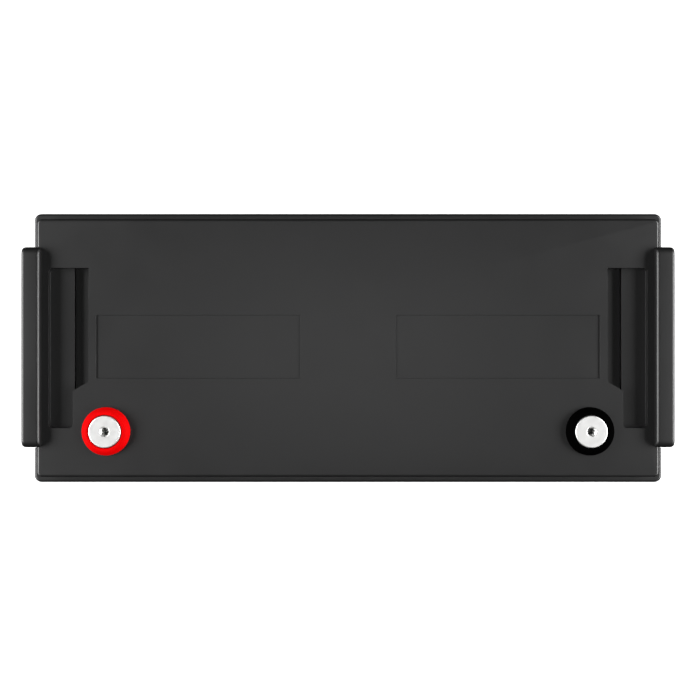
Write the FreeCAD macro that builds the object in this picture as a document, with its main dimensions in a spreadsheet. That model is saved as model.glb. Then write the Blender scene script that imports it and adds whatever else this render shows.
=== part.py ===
import FreeCAD, Part
import Sketcher
import math
import os

# A sealed rechargeable battery in a moulded plastic case, 12.8 volt class. +Z is up, +X runs along the long
# side towards the black terminal, and the origin is the bottom centre of the case. Lengths are in millimetres.

Vec = FreeCAD.Vector
doc = FreeCAD.newDocument("solar_battery")
sheet = doc.addObject("Spreadsheet::Sheet", "dims")


class Dim:
    """A number with the sheet expression that it comes from."""

    def __init__(self, value, text):
        self.value = float(value)
        self.text = text

    def __add__(self, other):
        other = dim(other)
        return Dim(self.value + other.value, f"({self.text} + {other.text})")

    def __radd__(self, other):
        return dim(other) + self

    def __sub__(self, other):
        other = dim(other)
        return Dim(self.value - other.value, f"({self.text} - {other.text})")

    def __rsub__(self, other):
        return dim(other) - self

    def __mul__(self, other):
        other = dim(other)
        return Dim(self.value * other.value, f"({self.text} * {other.text})")

    def __rmul__(self, other):
        return dim(other) * self

    def __truediv__(self, other):
        other = dim(other)
        return Dim(self.value / other.value, f"({self.text} / {other.text})")

    def __neg__(self):
        return Dim(-self.value, f"(0 - {self.text})")


def dim(x):
    return x if isinstance(x, Dim) else Dim(x, f"({float(x):.6f})")


rows = [0]


def size(alias, value, note):
    rows[0] += 1
    n = rows[0]
    sheet.set(f"A{n}", alias)
    sheet.set(f"B{n}", str(value))
    sheet.setAlias(f"B{n}", alias)
    sheet.set(f"C{n}", note)
    return Dim(value, f"dims.{alias}")


# ---- driving sizes ----
LID_L = size("lid_length", 531.4, "lid flange, long side")
LID_W = size("lid_width", 227.4, "lid flange, short side")
TOP = size("lid_top", 218.0, "height of the lid's flat top")
LEDGE = size("ledge_drop", 11.8, "drop from the top to the flange")
PLATEAU_IN = size("plateau_inset", 6.0, "flange edge to the wall of the raised top")
RISER_R = size("riser_radius", 2.2, "round on the raised top's edge")
RIM_R = size("rim_radius", 2.4, "round on the flange's edge")
LID_CORNER = size("lid_corner", 6.0, "corner radius of the flange")
JOINT_Z = size("joint_height", 203.0, "where the lid sits on the tub")
SKIRT_H = size("skirt_height", 7.0, "flange skirt below the joint")
SKIRT_FIT = size("skirt_fit", 0.3, "skirt to the tub's wall")
BAY_Y = size("handle_bay_half", 84.8, "half length of the bay cut in the flange for a handle")
LID_T = size("lid_thickness", 4.0, "lid plate")
TONGUE_FIT = size("tongue_fit", 0.5, "tub's inner face to the lid's tongue")
TONGUE_T = size("tongue_thickness", 3.0, "tongue wall")
TONGUE_H = size("tongue_depth", 6.0, "tongue below the joint")
STEP_X = size("tub_step_x", 5.3, "flange edge to the tub's end wall")
STEP_Y = size("tub_step_y", 2.7, "flange edge to the tub's long wall")
WALL = size("tub_wall", 3.5, "tub wall")
FLOOR = size("tub_floor", 4.0, "tub floor")
TUB_CORNER = size("tub_corner", 6.0, "tub corner radius")

LAB_X0 = size("label_inner", 39.6, "label panel, inner end")
LAB_X1 = size("label_outer", 210.2, "label panel, outer end")
LAB_Y0 = size("label_low", 25.4, "label panel, edge on the terminal side, below the axis")
LAB_Y1 = size("label_high", 27.5, "label panel, far edge")
LAB_D = size("label_depth", 0.9, "label panel depth")

REC_X0 = size("shelf_inner", 229.3, "finger shelf beside the bar, inner edge")
REC_X1 = size("shelf_outer", 249.6, "finger shelf, outer wall")
REC_Y = size("scoop_half", 66.8, "trough and shelf, half length")
REC_D = size("shelf_depth", 5.0, "depth of the finger shelf")
SCOOP_CORNER = size("scoop_corner", 3.5, "plan corner radius of the shelf")
TRO_X0 = size("trough_inner", 216.3, "long trough, inner edge")
TRO_D = size("trough_depth", 9.5, "trough depth")
PAD_R = size("post_pad_radius", 43.3, "flat left round each post")
SKIN = size("pan_skin", 3.5, "plastic left under a panel")

POST_X = size("post_x", 201.6, "post axis")
POST_Y = size("post_y", 69.4, "post axis, towards the terminal side")
RING_R = size("ring_radius", 20.1, "coloured collar")
RING_H = size("ring_height", 2.3, "collar's outer edge above the top")
RING_TOP = size("ring_crown", 6.0, "collar's inner edge above the top")
DISC_R = size("disc_radius", 13.3, "metal post head")
DISC_H = size("disc_height", 6.5, "post head above the top")
NECK_R = size("neck_radius", 8.0, "post neck")
NECK_L = size("neck_length", 23.0, "post neck below the top")
TAP_R = size("tap_radius", 3.4, "wall of the threaded bore")
MOUTH_R = size("mouth_radius", 4.4, "bore mouth")
TAP_L = size("tap_depth", 18.0, "bore depth")
BOSS_R = size("boss_radius", 22.0, "boss under the lid at each post")
BOSS_Z = size("boss_bottom", 208.0, "underside of the boss")

BAR_X0 = size("bar_inner", 255.4, "handle bar, inner face")
BAR_X1 = size("bar_outer", 270.8, "handle bar, outer face")
WEB_X0 = size("web_inner", 262.0, "handle web and arms, inner face")
BAR_Y = size("bar_near", 82.7, "handle, end on the terminal side")
BAR_YF = size("bar_far", 84.0, "handle, far end")
BAR_TOP = size("bar_top", 225.0, "handle bar, top")
BAR_LOW = size("bar_shelf", 218.4, "underside of the shelf over the rim")
WEB_LOW = size("bar_web", 211.0, "underside of the web")
ARM_Y = size("arm_inner", 66.6, "arm, inner face at the bar")
PIV_X = size("pivot_x", 266.5, "handle pivot axis")
PIV_Z = size("pivot_z", 180.0, "handle pivot axis")
EYE_R = size("eye_radius", 5.5, "handle eye")
EYE_Y0 = size("eye_inner", 68.0, "handle eye, inner face")
EYE_Y1 = size("eye_outer", 78.0, "handle eye, outer face")
PIN_R = size("pin_radius", 2.5, "steel pin")
PIN_FIT = size("pin_clearance", 0.06, "running clearance of the pin in the eye")
EAR_T = size("ear_thickness", 4.0, "moulded ear")
EAR_GAP = size("ear_gap", 0.3, "side gap between eye and ear")
EAR_R = size("ear_radius", 7.0, "ear's round end")

CELL_T = size("cell_thickness", 71.7, "cell, along X")
CELL_W = size("cell_width", 173.7, "cell, standing height")
CELL_L = size("cell_body", 204.6, "cell, along Y without its poles")
POLE_H = size("pole_height", 2.6, "cell pole")
POLE_C = size("pole_offset", 58.8, "cell pole from the cell's middle")
CELL_Y = size("cell_back", 104.4, "closed end of the cells")
CELL_Z = size("cell_bottom", 6.5, "underside of the cells")
GAP = size("cell_gap", 1.0, "insulating sheet between cells")
PLATE_T = size("end_plate", 4.0, "end plate")
BAND_T = size("band_thickness", 0.8, "steel band")
BAND_W = size("band_width", 19.0, "steel band")
BUS_T = size("bus_thickness", 2.5, "copper busbar")
BUS_W = size("bus_width", 30.0, "copper busbar")
TRAY_Z = size("tray_bottom", 181.0, "underside of the management unit's tray")
UNIT_X0 = size("unit_left", 110.0, "management unit, left end from the axis")
UNIT_X1 = size("unit_right", 40.0, "management unit, right end")
UNIT_Y0 = size("unit_near", 70.0, "management unit, terminal side")
UNIT_Y1 = size("unit_far", 60.0, "management unit, far side")
CABLE_R = size("cable_radius", 5.0, "cable over its sheath")
doc.recompute()


# ---- helpers ----
def bind(obj, prop, value):
    value = dim(value)
    obj.setExpression(prop, value.text)


def body(name):
    b = doc.addObject("PartDesign::Body", name)
    b.Label = name
    return b


def sketch(b, name, plane="XY_Plane", off=None):
    sk = b.newObject("Sketcher::SketchObject", name)
    base = [f for f in b.Origin.OriginFeatures if f.Role == plane][0]
    sk.AttachmentSupport = [(base, "")]
    sk.MapMode = "FlatFace"
    if off is not None:
        bind(sk, "AttachmentOffset.Base.z", off)
    return sk


def lock(sk, g, v, x, y):
    """Fix one point of a sketch at (x, y)."""
    for val, kind, axis in ((dim(x), "DistanceX", -2), (dim(y), "DistanceY", -1)):
        if abs(val.value) < 1e-9:
            sk.addConstraint(Sketcher.Constraint("PointOnObject", g, v, axis))
        elif val.value > 0:
            i = sk.addConstraint(Sketcher.Constraint(kind, -1, 1, g, v, val.value))
            sk.setExpression(f"Constraints[{i}]", val.text)
        else:
            i = sk.addConstraint(Sketcher.Constraint(kind, g, v, -1, 1, -val.value))
            sk.setExpression(f"Constraints[{i}]", (-val).text)


def polygon(sk, pts):
    pts = [(dim(x), dim(y)) for x, y in pts]
    n = len(pts)
    ids = []
    for i in range(n):
        a, b = pts[i], pts[(i + 1) % n]
        ids.append(sk.addGeometry(Part.LineSegment(Vec(a[0].value, a[1].value, 0), Vec(b[0].value, b[1].value, 0)), False))
    for i in range(n):
        sk.addConstraint(Sketcher.Constraint("Coincident", ids[i], 2, ids[(i + 1) % n], 1))
    for i in range(n):
        lock(sk, ids[i], 1, *pts[i])


def rect(sk, x0, x1, y0, y1):
    polygon(sk, [(x0, y0), (x1, y0), (x1, y1), (x0, y1)])


def circle(sk, x, y, r):
    x, y, r = dim(x), dim(y), dim(r)
    g = sk.addGeometry(Part.Circle(Vec(x.value, y.value, 0), Vec(0, 0, 1), r.value), False)
    lock(sk, g, 3, x, y)
    i = sk.addConstraint(Sketcher.Constraint("Radius", g, r.value))
    sk.setExpression(f"Constraints[{i}]", r.text)


def round_rect(sk, x0, x1, y0, y1, r):
    x0, x1, y0, y1, r = (dim(q) for q in (x0, x1, y0, y1, r))
    X0, X1, Y0, Y1, R = x0.value, x1.value, y0.value, y1.value, r.value

    def line(ax, ay, bx, by):
        return sk.addGeometry(Part.LineSegment(Vec(ax, ay, 0), Vec(bx, by, 0)), False)

    def arc(cx, cy, a):
        return sk.addGeometry(
            Part.ArcOfCircle(Part.Circle(Vec(cx, cy, 0), Vec(0, 0, 1), R), math.radians(a), math.radians(a + 90)), False)

    l0 = line(X0 + R, Y0, X1 - R, Y0)
    a0 = arc(X1 - R, Y0 + R, -90)
    l1 = line(X1, Y0 + R, X1, Y1 - R)
    a1 = arc(X1 - R, Y1 - R, 0)
    l2 = line(X1 - R, Y1, X0 + R, Y1)
    a2 = arc(X0 + R, Y1 - R, 90)
    l3 = line(X0, Y1 - R, X0, Y0 + R)
    a3 = arc(X0 + R, Y0 + R, 180)
    chain = [l0, a0, l1, a1, l2, a2, l3, a3]
    for i in range(8):
        sk.addConstraint(Sketcher.Constraint("Tangent", chain[i], 2, chain[(i + 1) % 8], 1))
    for g, cx, cy in ((a0, x1 - r, y0 + r), (a1, x1 - r, y1 - r), (a2, x0 + r, y1 - r), (a3, x0 + r, y0 + r)):
        lock(sk, g, 3, cx, cy)
        i = sk.addConstraint(Sketcher.Constraint("Radius", g, R))
        sk.setExpression(f"Constraints[{i}]", r.text)


def pad(b, sk, length, name, back=False):
    f = b.newObject("PartDesign::Pad", name)
    f.Profile = sk
    bind(f, "Length", length)
    f.Reversed = back
    return f


def pocket(b, sk, depth, name, back=False):
    doc.recompute()
    before = b.Tip.Shape.Volume
    f = b.newObject("PartDesign::Pocket", name)
    f.Profile = sk
    bind(f, "Length", depth)
    f.Reversed = back
    doc.recompute()
    if not f.Shape.Volume < before - 1e-3:
        raise RuntimeError(f"{name} cuts nothing")
    return f


def revolve(b, sk, name):
    f = b.newObject("PartDesign::Revolution", name)
    f.Profile = sk
    f.ReferenceAxis = (sk, ["V_Axis"])
    f.Angle = 360.0
    return f


def rounding(b, name, radius, pick, kind="PartDesign::Fillet"):
    doc.recompute()
    base = b.Tip
    edges = [f"Edge{i + 1}" for i, e in enumerate(base.Shape.Edges) if pick(e)]
    if not edges:
        raise RuntimeError(f"{name} finds no edge")
    f = b.newObject(kind, name)
    f.Base = (base, edges)
    bind(f, "Radius" if kind.endswith("Fillet") else "Size", radius)
    doc.recompute()
    return f


def ends(e):
    vs = e.Vertexes
    return vs[0].Point, vs[-1].Point


def upright(e):
    a, b = ends(e)
    return (a - b).Length > 0.3 and abs(a.x - b.x) < 1e-4 and abs(a.y - b.y) < 1e-4 and len(e.Vertexes) == 2


def level(e, z):
    bb = e.BoundBox
    return abs(bb.ZMin - z) < 1e-3 and abs(bb.ZMax - z) < 1e-3


def place(obj, x=0, y=0, z=0, rot=None):
    if rot is not None:
        obj.Placement = FreeCAD.Placement(Vec(dim(x).value, dim(y).value, dim(z).value), rot)
    bind(obj, "Placement.Base.x", x)
    bind(obj, "Placement.Base.y", y)
    bind(obj, "Placement.Base.z", z)


def block(name, x0, x1, y0, y1, z0, z1):
    o = doc.addObject("Part::Box", name)
    o.Label = name
    bind(o, "Length", dim(x1) - x0)
    bind(o, "Width", dim(y1) - y0)
    bind(o, "Height", dim(z1) - z0)
    place(o, x0, y0, z0)
    return o


ALONG_Y = FreeCAD.Rotation(Vec(1, 0, 0), -90)
ALONG_X = FreeCAD.Rotation(Vec(0, 1, 0), 90)


def rod(name, r, length, x, y, z, rot=None):
    o = doc.addObject("Part::Cylinder", name)
    o.Label = name
    bind(o, "Radius", r)
    bind(o, "Height", length)
    place(o, x, y, z, rot)
    return o


def cut(name, base, *tools):
    o = doc.addObject("Part::Cut", name)
    o.Base = base
    o.Tool = tools[0] if len(tools) == 1 else fuse(name + "_tools", *tools)
    o.Label = name
    return o


def fuse(name, *shapes):
    o = doc.addObject("Part::MultiFuse", name)
    o.Shapes = list(shapes)
    o.Refine = True
    o.Label = name
    return o


def group(name, *shapes):
    o = doc.addObject("Part::Compound", name)
    o.Links = list(shapes)
    o.Label = name
    return o


nodes = {}


def node(obj):
    nodes[obj.Label] = obj
    return obj


HX, HY = LID_L / 2, LID_W / 2
TX, TY = HX - STEP_X, HY - STEP_Y
IX, IY = TX - WALL, TY - WALL

# ---- case tub: an open box with rounded corners, ears for the handles and locating ribs ----
tub = body("case_tub")
s = sketch(tub, "tub_outline")
round_rect(s, -TX, TX, -TY, TY, TUB_CORNER)
pad(tub, s, JOINT_Z, "tub_block")
rounding(tub, "tub_foot", 3.0, lambda e: level(e, 0.0))
s = sketch(tub, "tub_inside", off=JOINT_Z)
round_rect(s, -IX, IX, -IY, IY, 4.0)
pocket(tub, s, JOINT_Z - FLOOR, "tub_hollow")
s = sketch(tub, "seal_groove_lines", off=JOINT_Z)
round_rect(s, -(TX - 0.9), TX - 0.9, -(TY - 0.9), TY - 0.9, 5.1)
round_rect(s, -(TX - 2.5), TX - 2.5, -(TY - 2.5), TY - 2.5, 3.5)
pocket(tub, s, 1.2, "seal_groove")
for k, y0 in enumerate((EYE_Y1 + EAR_GAP + EAR_T, EYE_Y0 - EAR_GAP, -(EYE_Y0 - EAR_GAP - EAR_T), -(EYE_Y1 + EAR_GAP))):
    s = sketch(tub, f"ear_lines_{k}", "XZ_Plane", -y0)
    for sx in (1, -1):
        polygon(s, [(sx * (TX - 1), PIV_Z - 19), (sx * TX, PIV_Z - 19), (sx * (PIV_X + 4), PIV_Z - EAR_R + 1),
                    (sx * (PIV_X + EAR_R), PIV_Z - 2.5), (sx * (PIV_X + EAR_R), PIV_Z + 2.5),
                    (sx * (PIV_X + 2.5), PIV_Z + EAR_R), (sx * (TX - 1), PIV_Z + EAR_R)])
    pad(tub, s, EAR_T, f"ear_{k}")
s = sketch(tub, "pin_bores", "XZ_Plane", EYE_Y1 + 12)
for sx in (1, -1):
    circle(s, sx * PIV_X, PIV_Z, PIN_R)
pocket(tub, s, 2 * (EYE_Y1 + 12), "pin_bore")
s = sketch(tub, "floor_rib_lines", off=FLOOR)
for sx in (1, -1):
    xs = [sx * 151.5, sx * 154.0]
    rect(s, min(xs), max(xs), -95.0, 95.0)
pad(tub, s, 14.0, "floor_ribs")
node(tub)

# ---- lid: raised top with a ledge round it, two sunk label panels, two finger scoops, a tongue into the tub ----
lid = body("lid")
s = sketch(lid, "rim_outline", off=JOINT_Z)
round_rect(s, -HX, HX, -HY, HY, LID_CORNER)
pad(lid, s, TOP - LEDGE - JOINT_Z, "rim_block")
s = sketch(lid, "plateau_outline", off=TOP - LEDGE)
round_rect(s, -(HX - PLATEAU_IN), HX - PLATEAU_IN, -(HY - PLATEAU_IN), HY - PLATEAU_IN, 4.0)
pad(lid, s, LEDGE, "plateau")
doc.recompute()
rounding(lid, "riser_round", RISER_R, lambda e: level(e, TOP.value))
rounding(lid, "rim_round", RIM_R, lambda e: level(e, (TOP - LEDGE).value) and
         (abs(abs(e.BoundBox.Center.x) - HX.value) < 3 or abs(abs(e.BoundBox.Center.y) - HY.value) < 3))
s = sketch(lid, "skirt_lines", off=JOINT_Z)
round_rect(s, -HX, HX, -HY, HY, LID_CORNER)
round_rect(s, -(TX + SKIRT_FIT), TX + SKIRT_FIT, -(TY + SKIRT_FIT), TY + SKIRT_FIT, TUB_CORNER + SKIRT_FIT)
pad(lid, s, SKIRT_H, "skirt", back=True)
s = sketch(lid, "tongue_outline", off=JOINT_Z)
round_rect(s, -(IX - TONGUE_FIT), IX - TONGUE_FIT, -(IY - TONGUE_FIT), IY - TONGUE_FIT, 3.6)
pad(lid, s, TONGUE_H, "tongue", back=True)
s = sketch(lid, "lid_inside", off=TOP - LID_T)
ti = TONGUE_FIT + TONGUE_T
round_rect(s, -(IX - ti), IX - ti, -(IY - ti), IY - ti, 3.0)
pocket(lid, s, TOP - LID_T - JOINT_Z + TONGUE_H, "lid_hollow")
s = sketch(lid, "handle_bay_lines", off=TOP - LEDGE)
for sx in (1, -1):
    xs = sorted([sx * (TX + SKIRT_FIT), sx * (HX + 1)], key=lambda q: q.value)
    rect(s, xs[0], xs[1], -BAY_Y, BAY_Y)
pocket(lid, s, TOP - LEDGE - JOINT_Z + SKIRT_H, "handle_bays")
s = sketch(lid, "label_pan_lines", off=TOP - LID_T)
for sx in (1, -1):
    xs = sorted([sx * (LAB_X0 - SKIN), sx * (LAB_X1 + SKIN)], key=lambda q: q.value)
    rect(s, xs[0], xs[1], -(LAB_Y0 + SKIN), LAB_Y1 + SKIN)
pad(lid, s, LAB_D + SKIN - LID_T, "label_pans", back=True)
arc_in = math.sqrt(PAD_R.value ** 2 - (REC_X0 - POST_X).value ** 2)
s = sketch(lid, "scoop_pan_lines", "XZ_Plane", -(REC_Y + SKIN))
low = TOP - REC_D - SKIN
for sx in (1, -1):
    xs = sorted([sx * (REC_X0 - 2), sx * (REC_X1 + SKIN + 1)], key=lambda q: q.value)
    rect(s, xs[0], xs[1], low, TOP - LID_T)
pad(lid, s, 2 * (REC_Y + SKIN), "scoop_pans")
trough_y0 = -POST_Y + arc_in
s = sketch(lid, "trough_pan_lines", "XZ_Plane", -(REC_Y + SKIN))
for sx in (1, -1):
    xs = sorted([sx * (TRO_X0 - SKIN), sx * (REC_X0 + SKIN)], key=lambda q: q.value)
    rect(s, xs[0], xs[1], TOP - TRO_D - SKIN, TOP - LID_T)
pad(lid, s, REC_Y + SKIN - trough_y0 + SKIN, "trough_pans")
s = sketch(lid, "post_bosses_lines", off=TOP - LID_T)
for sx in (1, -1):
    circle(s, sx * POST_X, -POST_Y, BOSS_R)
pad(lid, s, TOP - LID_T - BOSS_Z, "post_bosses", back=True)
s = sketch(lid, "label_lines", off=TOP)
for sx in (1, -1):
    xs = sorted([sx * LAB_X0, sx * LAB_X1], key=lambda q: q.value)
    round_rect(s, xs[0], xs[1], -LAB_Y0, LAB_Y1, 1.0)
pocket(lid, s, LAB_D, "label_panels")

# the finger shelf beside each bar, with rounded plan corners, and a deeper trough along its inner edge; round the post
# the trough is filled again to a flat pad
for sx, side in ((1, "right"), (-1, "left")):
    s = sketch(lid, f"shelf_lines_{side}", off=TOP)
    xs = sorted([sx * REC_X0, sx * REC_X1], key=lambda q: q.value)
    round_rect(s, xs[0], xs[1], -REC_Y, REC_Y, SCOOP_CORNER)
    pocket(lid, s, REC_D, f"finger_shelf_{side}")
s = sketch(lid, "trough_lines", off=TOP)
for sx in (1, -1):
    xs = sorted([sx * TRO_X0, sx * REC_X0], key=lambda q: q.value)
    rect(s, xs[0], xs[1], trough_y0 - 8.0, REC_Y)
pocket(lid, s, TRO_D, "troughs")
s = sketch(lid, "trough_end_lines", off=TOP)
for sx in (1, -1):
    xs = sorted([sx * REC_X0, sx * (REC_X0 + SCOOP_CORNER)], key=lambda q: q.value)
    rect(s, xs[0], xs[1], REC_Y - SCOOP_CORNER, REC_Y)
pocket(lid, s, REC_D, "trough_ends")
x_far = TRO_X0 - 3
arc_out = math.sqrt(PAD_R.value ** 2 - (x_far - POST_X).value ** 2)
s = sketch(lid, "post_pad_lines", off=BOSS_Z)
y_low = trough_y0 - 12.0
for sx in (1, -1):
    cx, cy = sx * POST_X.value, -POST_Y.value
    pa = Vec(sx * REC_X0.value, cy + arc_in, 0)
    pb = Vec(sx * x_far.value, cy + arc_out, 0)
    aa, ab = math.atan2(pa.y - cy, pa.x - cx), math.atan2(pb.y - cy, pb.x - cx)
    arc = s.addGeometry(Part.ArcOfCircle(Part.Circle(Vec(cx, cy, 0), Vec(0, 0, 1), PAD_R.value), min(aa, ab), max(aa, ab)), False)
    ina, outb = (1, 2) if sx > 0 else (2, 1)
    pts = [pb, Vec(pb.x, y_low.value, 0), Vec(pa.x, y_low.value, 0), pa]
    g = [s.addGeometry(Part.LineSegment(pts[i], pts[i + 1]), False) for i in range(3)]
    s.addConstraint(Sketcher.Constraint("Coincident", arc, outb, g[0], 1))
    s.addConstraint(Sketcher.Constraint("Coincident", g[0], 2, g[1], 1))
    s.addConstraint(Sketcher.Constraint("Coincident", g[1], 2, g[2], 1))
    s.addConstraint(Sketcher.Constraint("Coincident", g[2], 2, arc, ina))
    lock(s, arc, 3, sx * POST_X, -POST_Y)
    i = s.addConstraint(Sketcher.Constraint("Radius", arc, PAD_R.value))
    s.setExpression(f"Constraints[{i}]", PAD_R.text)
    lock(s, g[1], 1, sx * x_far, y_low)
    lock(s, g[2], 1, sx * REC_X0, y_low)
    s.addConstraint(Sketcher.Constraint("Vertical", g[0]))
    s.addConstraint(Sketcher.Constraint("Vertical", g[2]))
pad(lid, s, TOP - BOSS_Z, "post_pads")
s = sketch(lid, "post_bore_lines", off=TOP)
for sx in (1, -1):
    circle(s, sx * POST_X, -POST_Y, NECK_R + 0.2)
pocket(lid, s, TOP - BOSS_Z, "post_bores")
s = sketch(lid, "post_counterbore_lines", off=TOP)
for sx in (1, -1):
    circle(s, sx * POST_X, -POST_Y, NECK_R + 2.4)
pocket(lid, s, 2.0, "post_counterbores")
s = sketch(lid, "lid_rib_lines", off=TOP - LID_T)
for y in (-50.0, 50.0):
    rect(s, -205.0 if y > 0 else -170.0, 205.0 if y > 0 else 170.0, y - 1.0, y + 1.0)
pad(lid, s, 7.0, "lid_ribs", back=True)
node(lid)

# ---- seal: a rubber cord in the tub's groove, under the lid ----
seal = body("lid_seal")
s = sketch(seal, "seal_lines", off=JOINT_Z - 1.2)
round_rect(s, -(TX - 1.0), TX - 1.0, -(TY - 1.0), TY - 1.0, 5.0)
round_rect(s, -(TX - 2.4), TX - 2.4, -(TY - 2.4), TY - 2.4, 3.6)
pad(seal, s, 1.2, "seal_cord")
node(seal)

# ---- handles: a bar lying over the lid's end rim, two arms and two eyes, swinging on steel pins ----
for side, sx in (("left", -1), ("right", 1)):
    h = body(f"handle_{side}")
    s = sketch(h, f"bar_lines_{side}", "XZ_Plane", -BAR_YF)
    polygon(s, [(sx * BAR_X0, BAR_LOW), (sx * WEB_X0, BAR_LOW), (sx * WEB_X0, WEB_LOW), (sx * BAR_X1, WEB_LOW),
                (sx * BAR_X1, BAR_TOP), (sx * BAR_X0, BAR_TOP)])
    pad(h, s, BAR_Y + BAR_YF, f"bar_{side}")
    s = sketch(h, f"arm_lines_{side}", "YZ_Plane", WEB_X0 if sx > 0 else -BAR_X1)
    for sy, end_y in ((1, BAR_YF), (-1, BAR_Y)):
        polygon(s, [(sy * ARM_Y, WEB_LOW + 2), (sy * end_y, WEB_LOW + 2), (sy * end_y, WEB_LOW - 4),
                    (sy * EYE_Y1, WEB_LOW - 12), (sy * EYE_Y1, PIV_Z), (sy * EYE_Y0, PIV_Z),
                    (sy * EYE_Y0, WEB_LOW - 8), (sy * ARM_Y, WEB_LOW - 2)])
    pad(h, s, BAR_X1 - WEB_X0, f"arms_{side}")
    for k, y0 in enumerate((EYE_Y1, -EYE_Y0)):
        s = sketch(h, f"eye_lines_{side}_{k}", "XZ_Plane", -y0)
        circle(s, sx * PIV_X, PIV_Z, EYE_R)
        pad(h, s, EYE_Y1 - EYE_Y0, f"eye_{side}_{k}")
    s = sketch(h, f"eye_bore_lines_{side}", "XZ_Plane", BAR_Y)
    circle(s, sx * PIV_X, PIV_Z, PIN_R + PIN_FIT)
    pocket(h, s, 2 * BAR_Y, f"eye_bore_{side}")
    far, near = BAR_YF.value, -BAR_Y.value
    rounding(h, f"bar_corners_{side}", 3.0, lambda e: upright(e) and min(abs(ends(e)[0].y - far), abs(ends(e)[0].y - near)) < 1e-3 and
             ends(e)[0].z + ends(e)[1].z > 2 * (WEB_LOW.value - 4))
    rounding(h, f"bar_round_{side}", 2.8, lambda e: level(e, BAR_TOP.value))
    node(h)
    pins = [rod(f"pin_{side}_{k}", PIN_R, EYE_Y1 - EYE_Y0 + 2 * (EAR_GAP + EAR_T), sx * PIV_X, y0, PIV_Z, ALONG_Y)
            for k, y0 in enumerate((EYE_Y0 - EAR_GAP - EAR_T, -(EYE_Y1 + EAR_GAP + EAR_T)))]
    node(group(f"handle_pins_{side}", *pins))

# ---- posts: collar, metal post with a blind threaded bore, seal, washer and nut ----
for name, sx in (("positive", -1), ("negative", 1)):
    b = body(f"{name}_ring")
    s = sketch(b, f"{name}_ring_lines", "XZ_Plane")
    polygon(s, [(DISC_R + 0.3, 0), (RING_R, 0), (RING_R, RING_H - 0.6), (RING_R - 0.6, RING_H + 0.2), (RING_R - 2.0, RING_H + 1.4),
                (DISC_R + 2.2, RING_TOP - 0.7), (DISC_R + 0.8, RING_TOP), (DISC_R + 0.3, RING_TOP)])
    revolve(b, s, f"{name}_ring_turn")
    place(b, sx * POST_X, -POST_Y, TOP)
    node(b)
    b = body(f"{name}_terminal")
    s = sketch(b, f"{name}_post_lines", "XZ_Plane")
    tap_end = DISC_H - TAP_L
    polygon(s, [(0, tap_end - 1.5), (TAP_R, tap_end), (TAP_R, DISC_H - 1.0), (MOUTH_R, DISC_H), (DISC_R - 0.5, DISC_H),
                (DISC_R, DISC_H - 0.5), (DISC_R, 0), (NECK_R, 0), (NECK_R, -NECK_L + 0.8), (NECK_R - 0.8, -NECK_L), (0, -NECK_L)])
    revolve(b, s, f"{name}_post_turn")
    place(b, sx * POST_X, -POST_Y, TOP)
    node(b)
    o = doc.addObject("Part::Torus", f"{name}_oring")
    o.Label = f"{name}_oring"
    bind(o, "Radius1", NECK_R + 1.2)
    bind(o, "Radius2", 1.0)
    place(o, sx * POST_X, -POST_Y, TOP - 1.0)
    node(o)
    node(cut(f"{name}_washer", rod(f"{name}_washer_disc", 13.0, 1.5, sx * POST_X, -POST_Y, BOSS_Z - 1.5),
             rod(f"{name}_washer_bore", NECK_R + 0.2, 1.5, sx * POST_X, -POST_Y, BOSS_Z - 1.5)))
    hexa = doc.addObject("Part::Prism", f"{name}_nut_hexagon")
    hexa.Polygon = 6
    bind(hexa, "Circumradius", 12.0 / math.cos(math.pi / 6))
    bind(hexa, "Height", 6.0)
    place(hexa, sx * POST_X, -POST_Y, BOSS_Z - 10.5)
    node(cut(f"{name}_nut", hexa, rod(f"{name}_nut_bore", NECK_R, 6.0, sx * POST_X, -POST_Y, BOSS_Z - 10.5)))

# ---- cells: four aluminium cans standing on edge side by side, poles towards the terminal side ----
PITCH = CELL_T + GAP
CELL_MID = CELL_Z + CELL_W / 2
FRONT = CELL_Y - CELL_L          # the cans' front face
POLE = FRONT - POLE_H            # the poles' outer face
for k in range(4):
    cx = (k - 1.5) * PITCH
    b = body(f"cell_{k + 1}")
    s = sketch(b, f"can_lines_{k + 1}", "XZ_Plane", -CELL_Y)
    round_rect(s, cx - CELL_T / 2, cx + CELL_T / 2, CELL_Z, CELL_Z + CELL_W, 2.5)
    pad(b, s, CELL_L, f"can_{k + 1}")
    s = sketch(b, f"pole_lines_{k + 1}", "XZ_Plane", -FRONT)
    for sz in (1, -1):
        zc = CELL_MID + sz * POLE_C
        rect(s, cx - 12.0, cx + 12.0, zc - 9.0, zc + 9.0)
    pad(b, s, POLE_H, f"poles_{k + 1}")
    s = sketch(b, f"vent_lines_{k + 1}", "XZ_Plane", -FRONT)
    round_rect(s, cx - 8.0, cx + 8.0, CELL_MID - 14.0, CELL_MID + 14.0, 7.0)
    pocket(b, s, 0.6, f"vent_{k + 1}")
    node(b)
for k in range(3):
    x0 = (k - 1.5) * PITCH + CELL_T / 2
    node(block(f"spacer_{k + 1}{k + 2}", x0, x0 + GAP, FRONT + 2, CELL_Y - 2, CELL_Z + 1, CELL_Z + CELL_W - 1))
STACK = 2 * PITCH - GAP / 2
for side, sx in (("left", -1), ("right", 1)):
    xs = sorted([sx * STACK, sx * (STACK + PLATE_T)], key=lambda q: q.value)
    node(block(f"end_plate_{side}", xs[0], xs[1], FRONT, CELL_Y, CELL_Z, CELL_Z + CELL_W))
BX = STACK + PLATE_T
for side, yc in (("front", -62.0), ("back", 66.0)):
    outer = block(f"band_{side}_outer", -(BX + BAND_T), BX + BAND_T, yc - BAND_W / 2, yc + BAND_W / 2, CELL_Z - BAND_T, CELL_Z + CELL_W + BAND_T)
    inner = block(f"band_{side}_inner", -BX, BX, yc - BAND_W / 2 - 1, yc + BAND_W / 2 + 1, CELL_Z, CELL_Z + CELL_W)
    node(cut(f"band_{side}", outer, inner))

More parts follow.
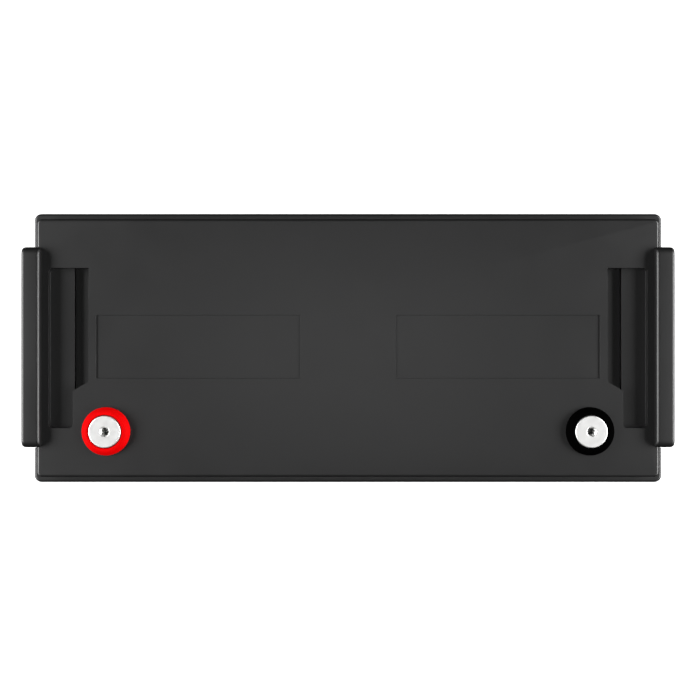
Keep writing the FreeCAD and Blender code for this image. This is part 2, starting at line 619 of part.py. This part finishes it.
# ---- copper: three links between neighbouring poles, and two strips to the post and the management unit ----
for k, sz in ((0, -1), (1, 1), (2, -1)):
    xc, zc = (k - 1) * PITCH, CELL_MID + sz * POLE_C
    bar = block(f"busbar_plate_{k + 1}", xc - PITCH / 2 - 14, xc + PITCH / 2 + 14, POLE - BUS_T, POLE, zc - BUS_W / 2, zc + BUS_W / 2)
    slot = block(f"busbar_slot_{k + 1}", xc - 2, xc + 2, POLE - BUS_T - 1, POLE + 1, zc - BUS_W / 2 + 6, zc + BUS_W / 2 - 6)
    node(cut(f"busbar_{k + 1}{k + 2}", bar, slot))
BEND = TRAY_Z + 13.5
UP = CELL_MID + POLE_C
xa = -1.5 * PITCH
link = fuse("positive_link_strip",
            block("positive_link_a", xa - 15, xa + 15, POLE - BUS_T, POLE, UP - 14, BEND + BUS_T),
            block("positive_link_b", xa - 15, xa + 15, POLE - BUS_T, -80.0, BEND, BEND + BUS_T),
            block("positive_link_c", xa - 15, xa + 15, -82.5, -80.0, BEND, BOSS_Z - 1.5),
            block("positive_link_d", -(POST_X + 14), xa + 15, -82.5, -57.0, BOSS_Z - 4.5, BOSS_Z - 1.5))
node(cut("positive_link", link, rod("positive_link_bore", NECK_R + 0.2, 6.0, -POST_X, -POST_Y, BOSS_Z - 6)))
xb = 1.5 * PITCH
TAB_Z = BEND - 3
node(cut("negative_link",
         fuse("negative_link_strip",
              block("negative_link_a", xb - 15, xb + 15, POLE - BUS_T, POLE, UP - 14, BEND + BUS_T),
              block("negative_link_b", xb - 15, xb + 15, POLE - BUS_T, -75.0, BEND, BEND + BUS_T),
              block("negative_link_c", UNIT_X1 + 10, xb + 15, -75.0, -38.0, BEND, BEND + BUS_T)),
         rod("negative_link_bore", 3.2, 6.0, UNIT_X1 + 22, -50.0, BEND - 1)))

# ---- management unit on its tray above the cells ----
node(block("bms_tray", -140.0, 140.0, -94.0, 98.0, TRAY_Z, TRAY_Z + 2.5))
U0 = TRAY_Z + 2.5
base = block("bms_base_block", -UNIT_X0, UNIT_X1, -UNIT_Y0, UNIT_Y1, U0, U0 + 9)
hollow = block("bms_base_hollow", -UNIT_X0 + 2.5, UNIT_X1 - 2.5, -UNIT_Y0 + 2.5, UNIT_Y1 - 2.5, U0 + 4, U0 + 10)
tabs_way = block("bms_base_way", UNIT_X1 - 3, UNIT_X1 + 1, -UNIT_Y0 + 5, 25.0, U0 + 7.5, U0 + 10)
node(cut("bms_housing", base, hollow, tabs_way))
node(block("bms_board", -UNIT_X0 + 3, UNIT_X1 - 3, -UNIT_Y0 + 3, UNIT_Y1 - 3, U0 + 4, U0 + 5.6))
chips = [block(f"mosfet_{k}", -UNIT_X0 + 14 + 15 * k, -UNIT_X0 + 24 + 15 * k, 30.0, 42.0, U0 + 5.6, U0 + 7.4) for k in range(8)]
node(group("mosfets", *chips))
cover = block("bms_cover_block", -UNIT_X0, UNIT_X1, -UNIT_Y0, UNIT_Y1, U0 + 9, U0 + 15)
cover_in = block("bms_cover_hollow", -UNIT_X0 + 2.5, UNIT_X1 - 2.5, -UNIT_Y0 + 2.5, UNIT_Y1 - 2.5, U0 + 8, U0 + 13)
cover_way = block("bms_cover_way", UNIT_X1 - 3, UNIT_X1 + 1, -UNIT_Y0 + 5, 25.0, U0 + 8, U0 + 11.5)
corner_bores = [rod(f"bms_cover_bore_{k}", 1.6, 12.0, x, y, U0 + 5)
                for k, (x, y) in enumerate(((-UNIT_X0 + 6, -UNIT_Y0 + 6), (UNIT_X1 - 6, UNIT_Y1 - 6)))]
node(cut("bms_cover", cover, cover_in, cover_way, *corner_bores))
screws = []
for k, (x, y) in enumerate(((-UNIT_X0 + 6, -UNIT_Y0 + 6), (UNIT_X1 - 6, UNIT_Y1 - 6))):
    screws.append(fuse(f"bms_screw_{k}", rod(f"bms_screw_shank_{k}", 1.5, 9.4, x, y, U0 + 5.6), rod(f"bms_screw_head_{k}", 3.0, 2.0, x, y, U0 + 15)))
node(group("bms_screws", *screws))
for name, yc in (("b", -50.0), ("p", 10.0)):
    t = block(f"bms_tab_{name}_strip", UNIT_X1 - 16, UNIT_X1 + 32, yc - 10, yc + 10, TAB_Z, TAB_Z + 3)
    node(cut(f"bms_tab_{name}", t, rod(f"bms_tab_{name}_bore", 3.2, 6.0, UNIT_X1 + 22, yc, TAB_Z - 1)))
    bolt = fuse(f"tab_bolt_{name}_solid",
                rod(f"tab_bolt_{name}_shank", 3.0, 12.0, UNIT_X1 + 22, yc, TAB_Z - 4),
                rod(f"tab_bolt_{name}_foot", 5.5, 4.0, UNIT_X1 + 22, yc, TAB_Z - 4),
                rod(f"tab_bolt_{name}_head", 5.0, 4.0, UNIT_X1 + 22, yc, BEND + BUS_T))
    bolt.Label = f"tab_bolt_{name}"
    node(bolt)

# ---- sensing: a thin printed circuit over the links, its plug on the unit, and a temperature probe ----
F0 = POLE - BUS_T - 0.5
circuit = [block("sense_spine", -125.0, 125.0, F0, F0 + 0.4, CELL_MID - 6, CELL_MID + 6),
           block("sense_riser", -30.0, -14.0, F0, F0 + 0.4, CELL_MID, 190.0),
           block("sense_fold", -30.0, -14.0, F0, -82.0, 190.0, 190.4)]
for k, (x, z0, z1) in enumerate(((-PITCH, CELL_MID - 48, CELL_MID), (PITCH, CELL_MID - 48, CELL_MID),
                                 (-1.5 * PITCH, CELL_MID, CELL_MID + 50), (1.5 * PITCH, CELL_MID, CELL_MID + 50))):
    circuit.append(block(f"sense_finger_{k}", x - 4, x + 4, F0, F0 + 0.4, z0, z1))
node(fuse("sense_circuit", *circuit))
node(block("sense_plug", -33.0, -11.0, -82.0, -UNIT_Y0, U0 + 2, U0 + 8.5))
probe = rod("probe_body", 2.2, 14.0, -60.0, 80.0, CELL_Z + CELL_W + 1.2 - 1.0, None)
node(fuse("temperature_probe", rod("probe_bead", 2.4, 16.0, 118.0, 30.0, TRAY_Z + 2.5 + 2.4, ALONG_X),
          rod("probe_tail", 1.0, 22.0, 97.0, 30.0, TRAY_Z + 2.5 + 2.4, ALONG_X)))
doc.removeObject(probe.Name)

# ---- load cable: from the unit's second tab to the negative post, with a crimped lug at each end ----
def lug(name, x, y, z, hole, thick, ux, uy, reach=8.0):
    """A lug whose palm is centred on (x, y), its barrel pointing along (ux, uy)."""
    ang = math.degrees(math.atan2(uy, ux))
    rot = FreeCAD.Rotation(Vec(0, 0, 1), ang)
    pieces = []
    eye = rod(f"{name}_palm_round", hole + 4.5, thick, x, y, z)
    arm = doc.addObject("Part::Box", f"{name}_palm_arm")
    bind(arm, "Length", dim(hole) + (reach + 2.0))
    bind(arm, "Width", 2 * (dim(hole) + 2.0))
    bind(arm, "Height", thick)
    off = rot.multVec(Vec(0, -(dim(hole).value + 2.0), 0))
    arm.Placement = FreeCAD.Placement(Vec(), rot)
    place(arm, dim(x) + off.x, dim(y) + off.y, z, rot)
    barrel = doc.addObject("Part::Cylinder", f"{name}_barrel")
    bind(barrel, "Radius", CABLE_R + 1.2)
    bind(barrel, "Height", 18.0)
    start = rot.multVec(Vec(dim(hole).value + reach, 0, 0))
    tilt = rot.multiply(FreeCAD.Rotation(Vec(0, 1, 0), 90))
    place(barrel, dim(x) + start.x, dim(y) + start.y, dim(z) + dim(thick) / 2, tilt)
    whole = fuse(f"{name}_whole", eye, arm, barrel)
    bore = rod(f"{name}_eye_bore", hole, 8.0, x, y, dim(z) - 2)
    sock = doc.addObject("Part::Cylinder", f"{name}_socket")
    bind(sock, "Radius", CABLE_R)
    bind(sock, "Height", 14.0)
    inner = rot.multVec(Vec(dim(hole).value + reach + 5.0, 0, 0))
    place(sock, dim(x) + inner.x, dim(y) + inner.y, dim(z) + dim(thick) / 2, tilt)
    o = cut(name, whole, bore, sock)
    return o


lug_p = lug("unit_lug", UNIT_X1 + 22, 10.0, BEND, 3.2, BUS_T, 1, 0)
lug_n = lug("post_lug", POST_X, -POST_Y, BOSS_Z - 4.5, NECK_R + 0.2, 3.0, 0, 1, reach=14.0)
node(lug_p)
node(lug_n)


def cord(name, pts, radius):
    """A tube along straight runs joined by tangent arcs."""
    edges, radii, last = [], [], pts[0]
    for i in range(1, len(pts) - 1):
        a, p, b = pts[i - 1], pts[i], pts[i + 1]
        u, v = (a - p), (b - p)
        la, lb = u.Length, v.Length
        u.normalize()
        v.normalize()
        half = (math.pi - u.getAngle(v)) / 2
        r = 0.45 * min(la, lb) / math.tan(half)
        t = r * math.tan(half)
        p0, p1 = p + u * t, p + v * t
        w = (u + v)
        w.normalize()
        c = p + w * (r / math.cos(half))
        mid = c - w * r
        edges += [Part.LineSegment(last, p0).toShape(), Part.Arc(p0, mid, p1).toShape()]
        radii.append(round(r, 1))
        last = p1
    edges.append(Part.LineSegment(last, pts[-1]).toShape())
    wire = Part.Wire(edges)
    d = pts[1] - pts[0]
    d.normalize()
    ring = Part.Wire([Part.Circle(pts[0], d, radius).toShape()])
    solid = wire.makePipeShell([ring], True, True)
    want = math.pi * radius ** 2 * wire.Length
    print(name, "arc radii", radii, "length", round(wire.Length, 1), "volume ratio", round(solid.Volume / want, 4))
    o = doc.addObject("Part::Feature", name)
    o.Label = name
    o.Shape = solid
    return o


r_c = CABLE_R.value - 0.05
zc0 = (dim(BEND) + BUS_T / 2).value
zc1 = (BOSS_Z - 3).value
x0 = (UNIT_X1 + 22 + 3.2 + 13.5).value
y3 = (-POST_Y + NECK_R + 0.2 + 19.5).value
px = POST_X.value
node(cord("load_cable", [Vec(x0, 10, zc0), Vec(x0 + 42, 10, zc0), Vec(px - 24, 12, 0.5 * (zc0 + zc1)), Vec(px, -8, zc1), Vec(px, y3, zc1)], r_c))

# ---- foam and insulation ----
foam = block("base_foam_sheet", -150.0, 150.0, -100.0, 104.0, FLOOR, CELL_Z)
ways = [block(f"base_foam_way_{k}", -151.0, 151.0, yc - 10.5, yc + 10.5, CELL_Z - 1.0, CELL_Z + 0.5) for k, yc in enumerate((-62.0, 66.0))]
node(cut("base_foam", foam, *ways))
for side, sx in (("left", -1), ("right", 1)):
    xs = sorted([sx * (IX - 1.5), dim(sx * 155.0)], key=lambda q: q.value)
    node(block(f"end_foam_{side}", xs[0], xs[1], -(IY - 1.5), IY - 1.5, FLOOR, 176.0))
node(block("back_foam", -140.0, 140.0, CELL_Y, IY, 12.0, 172.0))
node(block("busbar_cover", -140.0, 140.0, -IY, -(IY - 0.9), 10.0, 172.0))

# ---- state check, then one file for each piece ----
doc.recompute()
bad = [f"{o.Name}: {o.State}" for o in doc.Objects if any(w in o.State for w in ("Invalid", "Error"))]
for name, o in nodes.items():
    if o.Shape.isNull() or not o.Shape.isValid() or o.Shape.Volume <= 0:
        bad.append(f"{name}: bad shape")
if bad:
    raise RuntimeError("; ".join(bad))
os.makedirs("parts", exist_ok=True)
for name, o in nodes.items():
    o.Shape.exportStep(f"parts/{name}.step")
print(len(nodes), "nodes")
for name, o in nodes.items():
    bb = o.Shape.BoundBox
    print(f"{name:20s} {len(o.Shape.Solids)} solids {o.Shape.Volume / 1000:9.1f} cm3  "
          f"x {bb.XMin:7.1f} {bb.XMax:7.1f}  y {bb.YMin:7.1f} {bb.YMax:7.1f}  z {bb.ZMin:6.1f} {bb.ZMax:6.1f}")
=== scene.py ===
import math

import bmesh
import bpy
from mathutils import Matrix, Vector


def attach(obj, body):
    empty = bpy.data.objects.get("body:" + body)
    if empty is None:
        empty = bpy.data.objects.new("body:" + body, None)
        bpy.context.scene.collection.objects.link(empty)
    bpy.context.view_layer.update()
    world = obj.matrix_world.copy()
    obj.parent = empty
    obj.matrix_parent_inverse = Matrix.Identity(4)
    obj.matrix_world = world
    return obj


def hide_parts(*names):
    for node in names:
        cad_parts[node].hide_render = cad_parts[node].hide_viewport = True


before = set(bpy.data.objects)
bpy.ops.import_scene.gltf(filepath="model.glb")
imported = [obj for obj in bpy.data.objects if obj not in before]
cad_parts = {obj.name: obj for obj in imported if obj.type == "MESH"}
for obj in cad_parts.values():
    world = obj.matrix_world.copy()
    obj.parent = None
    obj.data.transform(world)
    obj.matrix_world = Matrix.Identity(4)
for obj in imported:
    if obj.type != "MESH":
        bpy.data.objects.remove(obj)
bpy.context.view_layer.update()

scene = bpy.context.scene
MM = 0.001


# ---------------------------------------------------------------- materials
class Nodes:
    """A small helper that adds linked nodes to one material."""

    def __init__(self, name):
        self.mat = bpy.data.materials.new(name)
        self.mat.use_nodes = True
        self.tree = self.mat.node_tree
        self.shader = self.tree.nodes["Principled BSDF"]
        self.coords = self.tree.nodes.new("ShaderNodeTexCoord").outputs["Object"]

    def add(self, kind, **values):
        n = self.tree.nodes.new(kind)
        for key, value in values.items():
            if hasattr(n, key):
                setattr(n, key, value)
            else:
                n.inputs[key.replace("_", " ")].default_value = value
        return n

    def link(self, a, b):
        self.tree.links.new(a, b)

    def noise(self, scale, detail=3.0, rough=0.5, stretch=None):
        n = self.tree.nodes.new("ShaderNodeTexNoise")
        n.inputs["Scale"].default_value = scale
        n.inputs["Detail"].default_value = detail
        n.inputs["Roughness"].default_value = rough
        src = self.coords
        if stretch:
            m = self.tree.nodes.new("ShaderNodeMapping")
            m.inputs["Scale"].default_value = stretch
            self.link(self.coords, m.inputs["Vector"])
            src = m.outputs["Vector"]
        self.link(src, n.inputs["Vector"])
        return n.outputs["Fac"]

    def span(self, fac, lo, hi, a=0.3, b=0.7):
        """Map a 0..1 texture to lo..hi."""
        n = self.tree.nodes.new("ShaderNodeMapRange")
        n.inputs["From Min"].default_value = a
        n.inputs["From Max"].default_value = b
        n.inputs["To Min"].default_value = lo
        n.inputs["To Max"].default_value = hi
        self.link(fac, n.inputs["Value"])
        return n.outputs["Result"]

    def mix(self, fac, a, b):
        n = self.tree.nodes.new("ShaderNodeMix")
        n.data_type = "RGBA"
        n.inputs["A"].default_value = (*a, 1)
        n.inputs["B"].default_value = (*b, 1)
        self.link(fac, n.inputs["Factor"])
        return n.outputs["Result"]

    def bump(self, height, distance, strength=1.0, normal=None):
        n = self.tree.nodes.new("ShaderNodeBump")
        n.inputs["Distance"].default_value = distance
        n.inputs["Strength"].default_value = strength
        self.link(height, n.inputs["Height"])
        if normal is not None:
            self.link(normal, n.inputs["Normal"])
        return n.outputs["Normal"]


def plastic(name, low, high, rough=(0.42, 0.5), grain=1400.0, depth=0.00003, cloud=9.0, level=0.5):
    """Moulded plastic: a fine spark-eroded grain, slow shifts of tone and gloss."""
    m = Nodes(name)
    m.link(m.mix(m.span(m.noise(cloud, 4.0), 0, 1), low, high), m.shader.inputs["Base Color"])
    m.link(m.span(m.noise(cloud * 3.1, 3.0), *rough), m.shader.inputs["Roughness"])
    fine = m.bump(m.noise(grain, 2.0, 0.6), depth, 0.6)
    m.link(m.bump(m.noise(55.0, 2.0), 0.00008, 0.25, fine), m.shader.inputs["Normal"])
    m.shader.inputs["Specular IOR Level"].default_value = level
    return m.mat


def metal(name, low, high, rough=(0.2, 0.3), stretch=None, scale=220.0, depth=0.00001):
    """Turned, rolled or plated metal, with fine tool marks."""
    m = Nodes(name)
    m.link(m.mix(m.span(m.noise(scale * 0.3, 4.0, 0.6, stretch), 0, 1), low, high), m.shader.inputs["Base Color"])
    m.link(m.span(m.noise(scale, 3.0, 0.6, stretch), *rough), m.shader.inputs["Roughness"])
    m.link(m.bump(m.noise(scale * 2.5, 2.0, 0.5, stretch), depth, 0.5), m.shader.inputs["Normal"])
    m.shader.inputs["Metallic"].default_value = 1.0
    return m.mat


def foam(name, low, high, cell=900.0):
    m = Nodes(name)
    v = m.tree.nodes.new("ShaderNodeTexVoronoi")
    v.inputs["Scale"].default_value = cell
    m.link(m.coords, v.inputs["Vector"])
    m.link(m.mix(m.span(v.outputs["Distance"], 0, 1, 0.0, 0.6), low, high), m.shader.inputs["Base Color"])
    m.link(m.bump(v.outputs["Distance"], 0.0003, 0.8), m.shader.inputs["Normal"])
    m.shader.inputs["Roughness"].default_value = 0.95
    return m.mat


MAT = {
    "case": plastic("case_plastic", (0.0024, 0.0024, 0.0025), (0.0034, 0.0034, 0.0035), (0.415, 0.445), level=0.62),
    "handle": plastic("handle_plastic", (0.0026, 0.0026, 0.0027), (0.0036, 0.0036, 0.0037), (0.435, 0.465), 1800.0, 0.00002, level=0.55),
    "red": plastic("red_collar", (0.52, 0.0004, 0.0008), (0.6, 0.0008, 0.0012), (0.6, 0.7), 2600.0, 0.00001, 30.0, 0.02),
    "black": plastic("black_collar", (0.0004, 0.0004, 0.0004), (0.0008, 0.0008, 0.0008), (0.6, 0.7), 2600.0, 0.00001, 30.0, 0.0),
    "post": metal("post_metal", (0.87, 0.87, 0.86), (0.91, 0.91, 0.9), (0.46, 0.52), None, 220.0, 0.000004),
    "rubber": plastic("seal_rubber", (0.012, 0.012, 0.012), (0.02, 0.02, 0.02), (0.7, 0.85), 900.0, 0.00005),
    "steel": metal("zinc_steel", (0.5, 0.51, 0.52), (0.62, 0.63, 0.63), (0.28, 0.42), None, 400.0),
    "can": plastic("cell_film", (0.02, 0.1, 0.42), (0.03, 0.13, 0.5), (0.25, 0.35), 600.0, 0.00002, 14.0),
    "aluminium": metal("mill_aluminium", (0.66, 0.67, 0.68), (0.76, 0.77, 0.78), (0.3, 0.42), (1.0, 1.0, 14.0), 260.0),
    "copper": metal("bare_copper", (0.72, 0.36, 0.22), (0.84, 0.46, 0.3), (0.24, 0.4), (0.1, 1.0, 1.0), 300.0),
    "sheet": plastic("epoxy_sheet", (0.42, 0.47, 0.24), (0.52, 0.56, 0.32), (0.45, 0.6), 2200.0, 0.00003, 60.0),
    "board": plastic("circuit_board", (0.01, 0.11, 0.05), (0.015, 0.16, 0.07), (0.35, 0.5), 1500.0, 0.00003, 160.0),
    "foam": foam("black_foam", (0.02, 0.02, 0.02), (0.05, 0.05, 0.05)),
    "chip": plastic("chip_plastic", (0.012, 0.012, 0.013), (0.02, 0.02, 0.021), (0.5, 0.6), 3000.0, 0.00001),
    "flex": plastic("amber_film", (0.5, 0.2, 0.02), (0.62, 0.27, 0.03), (0.2, 0.3), 900.0, 0.00001, 70.0),
    "white": plastic("white_plastic", (0.68, 0.68, 0.66), (0.76, 0.76, 0.74), (0.4, 0.5), 1600.0, 0.00001),
    "sheath": plastic("cable_sheath", (0.008, 0.008, 0.008), (0.014, 0.014, 0.014), (0.5, 0.62), 700.0, 0.00004),
}

WEAR = {
    "case": ["case_tub", "lid"],
    "handle": ["handle_left", "handle_right"],
    "red": ["positive_ring"],
    "black": ["negative_ring"],
    "post": ["positive_terminal", "negative_terminal"],
    "rubber": ["lid_seal", "positive_oring", "negative_oring"],
    "steel": ["handle_pins_left", "handle_pins_right", "positive_washer", "negative_washer", "positive_nut",
              "negative_nut", "band_front", "band_back", "bms_screws", "tab_bolt_b", "tab_bolt_p"],
    "can": ["cell_1", "cell_2", "cell_3", "cell_4"],
    "aluminium": ["end_plate_left", "end_plate_right", "bms_housing", "bms_cover"],
    "copper": ["busbar_12", "busbar_23", "busbar_34", "positive_link", "negative_link", "bms_tab_b", "bms_tab_p",
               "unit_lug", "post_lug"],
    "sheet": ["spacer_12", "spacer_23", "spacer_34", "bms_tray", "busbar_cover"],
    "board": ["bms_board"],
    "foam": ["base_foam", "end_foam_left", "end_foam_right", "back_foam"],
    "chip": ["mosfets"],
    "flex": ["sense_circuit"],
    "white": ["sense_plug", "temperature_probe"],
    "sheath": ["load_cable"],
}
for key, names in WEAR.items():
    for n in names:
        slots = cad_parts[n].material_slots
        for s in slots:
            s.material = MAT[key]


# ---------------------------------------------------------------- detailed pieces
def refine(node, mat, width=0.4, segs=3, angle=28.0, body="case", shape=None):
    """A piece with the node's form, its facets joined and every hard edge given a small moulded radius."""
    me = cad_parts[node].data.copy()
    me.name = node + "_skin"
    if "custom_normal" in me.attributes:
        me.attributes.remove(me.attributes["custom_normal"])
    bm = bmesh.new()
    bm.from_mesh(me)
    bmesh.ops.remove_doubles(bm, verts=bm.verts, dist=0.000002)
    bmesh.ops.dissolve_limit(bm, angle_limit=math.radians(0.6), verts=bm.verts, edges=bm.edges)
    if shape:
        shape(bm)
    bmesh.ops.recalc_face_normals(bm, faces=bm.faces)
    for f in bm.faces:
        f.smooth = True
    bm.to_mesh(me)
    bm.free()
    me.materials.clear()
    me.materials.append(mat)
    ob = bpy.data.objects.new(me.name, me)
    scene.collection.objects.link(ob)
    bev = ob.modifiers.new("edge", "BEVEL")
    bev.width = width * MM
    bev.segments = segs
    bev.limit_method = "ANGLE"
    bev.angle_limit = math.radians(angle)
    bev.harden_normals = True
    bev.miter_outer = "MITER_ARC"
    bev.use_clamp_overlap = True
    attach(ob, body)
    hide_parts(node)
    return ob


BAR_TOP, BAR_SHELF, BAR_FILLET = 225.0, 218.4, 2.8
BAR_ENDS = (-82.7, 84.0)
END_ROUND = 6.4


def soften_bar(bm):
    """Round the two ends of a handle bar down over a longer stretch than its long edges."""
    def drop(r, d):
        return 0.0 if d >= r else r - math.sqrt(max(r * r - (r - max(d, 0.0)) ** 2, 0.0))

    for end in BAR_ENDS:
        inward = -1.0 if end > 0 else 1.0
        for d in (0.35, 0.8, 1.4, 2.1, 2.8, 3.6, 4.4, 5.4, 6.4):
            bmesh.ops.bisect_plane(bm, geom=bm.verts[:] + bm.edges[:] + bm.faces[:], dist=1e-7,
                                   plane_co=(0, (end + inward * d) * MM, 0), plane_no=(0, 1, 0))
    for v in bm.verts:
        z = v.co.z / MM
        if z <= BAR_SHELF + 0.01:
            continue
        y = v.co.y / MM
        d = min(BAR_ENDS[1] - y, y - BAR_ENDS[0])
        extra = drop(END_ROUND, d) - drop(BAR_FILLET, d)
        v.co.z -= extra * min(1.0, (z - BAR_SHELF) / (BAR_TOP - BAR_FILLET - BAR_SHELF)) * MM


TOP = 218.0

refine("lid", MAT["case"], 0.45)
refine("case_tub", MAT["case"], 0.45)
refine("handle_left", MAT["handle"], 0.5, body="left_handle", shape=soften_bar)
refine("handle_right", MAT["handle"], 0.5, body="right_handle", shape=soften_bar)
for side in ("left", "right"):
    refine(f"handle_pins_{side}", MAT["steel"], 0.35)


def closed_piece(name, verts, faces, mat, node, slot, sharp=30.0):
    me = bpy.data.meshes.new(name)
    me.from_pydata(verts, [], faces)
    bm = bmesh.new()
    bm.from_mesh(me)
    bmesh.ops.recalc_face_normals(bm, faces=bm.faces)
    for f in bm.faces:
        f.smooth = True
    for e in bm.edges:
        if len(e.link_faces) == 2 and e.calc_face_angle(0.0) > math.radians(sharp):
            e.smooth = False
    bm.to_mesh(me)
    bm.free()
    me.materials.append(mat)
    ob = bpy.data.objects.new(name, me)
    scene.collection.objects.link(ob)
    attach(ob, "case")
    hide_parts(node)
    return ob


def arc_points(cx, cz, r, a0, a1, n):
    """Points on an arc in a lathe profile, angles in degrees from the outward direction."""
    return [(cx + r * math.cos(math.radians(a0 + (a1 - a0) * i / n)), cz + r * math.sin(math.radians(a0 + (a1 - a0) * i / n)))
            for i in range(n + 1)]


POST_X, POST_Y = 201.6, -69.4
TURN = 128


def lathe(profile, cx, cy, z0, loop=True):
    """A turned surface: profile points (radius, height) in millimetres; a radius of zero becomes one point."""
    verts, rings = [], []
    for r, z in profile:
        if r < 1e-6:
            rings.append([len(verts)])
            verts.append((cx * MM, cy * MM, (z0 + z) * MM))
            continue
        rings.append(list(range(len(verts), len(verts) + TURN)))
        for k in range(TURN):
            t = 2 * math.pi * k / TURN
            verts.append(((cx + r * math.cos(t)) * MM, (cy + r * math.sin(t)) * MM, (z0 + z) * MM))
    faces = []
    pairs = list(zip(rings, rings[1:] + rings[:1])) if loop else list(zip(rings, rings[1:]))
    for a, b in pairs:
        for k in range(TURN):
            n = (k + 1) % TURN
            if len(a) == 1:
                faces.append((a[0], b[k], b[n]))
            elif len(b) == 1:
                faces.append((a[k], b[0], a[n]))
            else:
                faces.append((a[k], b[k], b[n], a[n]))
    return verts, faces


# the collar: an upright foot, a domed face that climbs towards the post, a rolled lip beside the disc
dome = []
for i in range(15):
    t = i / 14.0
    dome.append((19.2 - (19.2 - 15.0) * t, 2.95 + (5.8 - 2.95) * math.sin(math.pi / 2 * t) ** 0.9))
collar = [(13.95, 0.0), (19.9, 0.0), (20.1, 0.2), (20.1, 1.3)]
collar += arc_points(18.8, 1.5, 1.3, 10, 55, 5)
collar += dome[1:]
collar += arc_points(14.75, 5.15, 0.8, 80, 180, 8)

PITCH_MM, CREST, ROOT = 1.25, 3.4, 4.02
MOUTH, HEAD, TAP_END = 4.15, 6.5, -11.5


def post_mesh(cx):
    """The post: a turned head and neck, and a blind bore with a true helical M8 thread."""
    outer = [(0.0, -23.0), (7.2, -23.0), (8.0, -22.2), (8.0, 0.0), (13.1, 0.0), (13.3, 0.2), (13.3, HEAD - 0.75)]
    outer += arc_points(12.55, HEAD - 0.75, 0.75, 10, 90, 8)
    outer += [(12.3, HEAD), (MOUTH + 0.45, HEAD), (MOUTH + 0.18, HEAD), (MOUTH + 0.05, HEAD - 0.05), (MOUTH, HEAD - 0.15)]
    verts, faces = lathe(outer, cx, POST_Y, TOP, loop=False)
    last = list(range(len(verts) - TURN, len(verts)))
    z_top, z_low, step = HEAD - 0.3, TAP_END + 0.6, PITCH_MM / 12.0
    rows = int((z_top - z_low) / step)
    for j in range(rows + 1):
        z = z_top - (z_top - z_low) * j / rows
        lead = min(1.0, max(0.0, (z_top - z) / 0.5)) * min(1.0, (z - z_low) / 1.2)
        flare = max(0.0, 1.0 - (z_top - z) / 0.9)
        ring = []
        for k in range(TURN):
            t = 2 * math.pi * k / TURN
            u = ((z / PITCH_MM) - k / TURN) % 1.0
            tooth = min(1.0, max(0.0, (abs(u - 0.5) * 2 - 0.14) / 0.72))
            r = CREST + (ROOT - CREST) * tooth * lead
            r = max(r, CREST + (MOUTH - CREST) * flare)
            ring.append(len(verts))
            verts.append(((cx + r * math.cos(t)) * MM, (POST_Y + r * math.sin(t)) * MM, (TOP + z) * MM))
        for k in range(TURN):
            n = (k + 1) % TURN
            faces.append((last[k], ring[k], ring[n], last[n]))
        last = ring
    foot = len(verts)
    verts.append((cx * MM, POST_Y * MM, (TOP + TAP_END - 1.5) * MM))
    for k in range(TURN):
        faces.append((last[k], foot, last[(k + 1) % TURN]))
    return verts, faces


for name, sx, key in (("positive", -1, "red"), ("negative", 1, "black")):
    closed_piece(f"{name}_collar", *lathe(collar, sx * POST_X, POST_Y, TOP), MAT[key], f"{name}_ring", f"{key}_collar")
    closed_piece(f"{name}_post", *post_mesh(sx * POST_X), MAT["post"], f"{name}_terminal", "post_metal", 24.0)

# ---------------------------------------------------------------- studio
floor_me = bpy.data.meshes.new("floor")
bm = bmesh.new()
bmesh.ops.create_grid(bm, x_segments=2, y_segments=2, size=6.0)
bm.to_mesh(floor_me)
bm.free()
fl = Nodes("floor_paper")
fl.shader.inputs["Base Color"].default_value = (0.45, 0.45, 0.45, 1)
fl.shader.inputs["Roughness"].default_value = 0.9
fl.shader.inputs["Specular IOR Level"].default_value = 0.1
fl.shader.inputs["Emission Color"].default_value = (1, 1, 1, 1)
fl.shader.inputs["Emission Strength"].default_value = 0.88
floor_me.materials.append(fl.mat)
floor = bpy.data.objects.new("floor", floor_me)
floor.location = (0, 0, -0.0004)
floor.visible_glossy = False
floor.visible_diffuse = False
scene.collection.objects.link(floor)

world = bpy.data.worlds.new("studio")
scene.world = world
world.use_nodes = True
bg = world.node_tree.nodes["Background"]
bg.inputs["Color"].default_value = (1, 1, 1, 1)
bg.inputs["Strength"].default_value = 0.014


def softbox(name, loc, aim, w, h, power):
    li = bpy.data.lights.new(name, "AREA")
    li.shape = "RECTANGLE"
    li.size, li.size_y = w, h
    li.energy = power
    ob = bpy.data.objects.new(name, li)
    ob.location = loc
    ob.rotation_mode = "QUATERNION"
    ob.rotation_quaternion = (Vector(aim) - Vector(loc)).to_track_quat("-Z", "Y")
    scene.collection.objects.link(ob)
    return ob


def power_for(radiance, w, h):
    """Watts that give an area light this radiance."""
    return radiance * math.pi * w * h


over = softbox("over", (0, 0, 2.6), (0, 0, 0), 0.6, 0.5, power_for(0.076, 0.6, 0.5))
over.data.spread = math.radians(14.0)
for sx in (-1, 1):
    softbox(f"side_{'left' if sx < 0 else 'right'}", (sx * 3.2, 0, 1.66), (sx * 0.23, 0, 0.218), 3.2, 1.34, power_for(20.3, 3.2, 1.34))

cam_data = bpy.data.cameras.new("camera")
cam_data.lens = 50.0
cam_data.sensor_width = 36.0
cam_data.clip_start, cam_data.clip_end = 0.01, 50.0
cam = bpy.data.objects.new("camera", cam_data)
cam.location = (0.0, 0.0, 0.218 + 0.806)
cam.rotation_euler = (0, 0, 0)
scene.collection.objects.link(cam)
scene.camera = cam
scene.view_settings.view_transform = "Standard"
scene.view_settings.look = "None"
